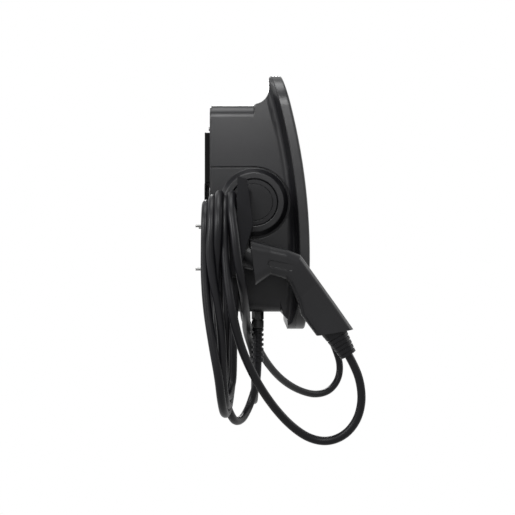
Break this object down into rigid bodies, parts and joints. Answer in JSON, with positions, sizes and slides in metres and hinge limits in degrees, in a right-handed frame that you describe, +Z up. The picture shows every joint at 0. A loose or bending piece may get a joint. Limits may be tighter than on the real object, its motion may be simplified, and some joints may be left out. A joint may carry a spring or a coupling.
{
  "type": "ev wallbox",
  "caption": "Wall-mounted vehicle charger with a curved front shield, side holsters, two charging connectors and both cables hung over one side hook",
  "frame": {"origin": "centre of the four wall screws, on the wall's plane", "axes": "+Z up, -Y out of the front, +X to the right seen from the front, +Y into the wall"},
  "size_m": [0.5528, 0.2893, 0.6254],
  "materials": {
    "shield_plastic": "fine satin black",
    "housing_plastic": "fine satin black",
    "cap_plastic": "fine satin black",
    "holster_plastic": "satin black",
    "connector_plastic": "satin black",
    "cable_rubber": "smooth satin jacket",
    "seal_rubber": "matt",
    "gland_plastic": "matt",
    "bracket_steel": "black powder coat",
    "screw_steel": "zinc plated",
    "rail_steel": "zinc plated",
    "device_plastic": "light grey",
    "lever_plastic": "black",
    "button_plastic": "yellow",
    "board_laminate": "green circuit board",
    "relay_plastic": "black",
    "module_metal": "screening can",
    "light_plastic": "smoked light guide",
    "pin_brass": "plated contacts"
  },
  "bodies": {
    "root_body": {"front_shield": "shield_plastic", "status_light": "light_plastic", "shield_screws": "screw_steel", "front_housing": "housing_plastic", "rear_shell": "housing_plastic", "housing_seal": "seal_rubber", "shell_screws": "screw_steel", "supply_grommet": "seal_rubber", "wall_bracket": "bracket_steel", "wall_screws": "screw_steel", "lock_screw": "screw_steel", "cable_saddle": "holster_plastic", "din_rail": "rail_steel", "terminal_block": "device_plastic", "energy_meter": "device_plastic", "main_board": "board_laminate", "board_screws": "screw_steel", "control_module": "module_metal", "cable_coil": "cable_rubber", "side_module_left": "housing_plastic", "side_module_right": "housing_plastic", "boss_cap_left": "cap_plastic", "boss_cap_right": "cap_plastic", "holster_left": "holster_plastic", "holster_right": "holster_plastic", "arm_screws_left": "screw_steel", "arm_screws_right": "screw_steel", "connector_shell_left": "connector_plastic", "connector_shell_right": "connector_plastic", "connector_nose_left": "connector_plastic", "connector_nose_right": "connector_plastic", "connector_pins_left": "pin_brass", "connector_pins_right": "pin_brass", "connector_relief_left": "cable_rubber", "connector_relief_right": "cable_rubber", "cable_gland_left": "gland_plastic", "cable_gland_right": "gland_plastic", "gland_nut_left": "gland_plastic", "gland_nut_right": "gland_plastic", "bend_relief_left": "cable_rubber", "bend_relief_right": "cable_rubber", "breaker_left": "device_plastic", "breaker_right": "device_plastic", "power_relay_left": "relay_plastic", "power_relay_right": "relay_plastic", "cable_tail_left": "cable_rubber", "cable_tail_right": "cable_rubber", "cable_lead_left": "cable_rubber", "cable_lead_right": "cable_rubber"},
    "lever_left": {"breaker_lever_left": "lever_plastic"},
    "tester_left": {"test_button_left": "button_plastic"},
    "lever_right": {"breaker_lever_right": "lever_plastic"},
    "tester_right": {"test_button_right": "button_plastic"}
  },
  "joints": [
    {"name": "breaker_lever_left_hinge", "type": "hinge", "parent": "root_body", "child": "lever_left", "pos_m": [-0.028, -0.0854, -0.05], "axis": [1, 0, 0], "range_deg": [0, 60]},
    {"name": "test_button_left_slide", "type": "slide", "parent": "root_body", "child": "tester_left", "axis": [0, 1, 0], "range_m": [0, 0.0014], "stiffness_N_per_m": 150},
    {"name": "breaker_lever_right_hinge", "type": "hinge", "parent": "root_body", "child": "lever_right", "pos_m": [0.028, -0.0854, -0.05], "axis": [1, 0, 0], "range_deg": [0, 60]},
    {"name": "test_button_right_slide", "type": "slide", "parent": "root_body", "child": "tester_right", "axis": [0, 1, 0], "range_m": [0, 0.0014], "stiffness_N_per_m": 150}
  ]
}
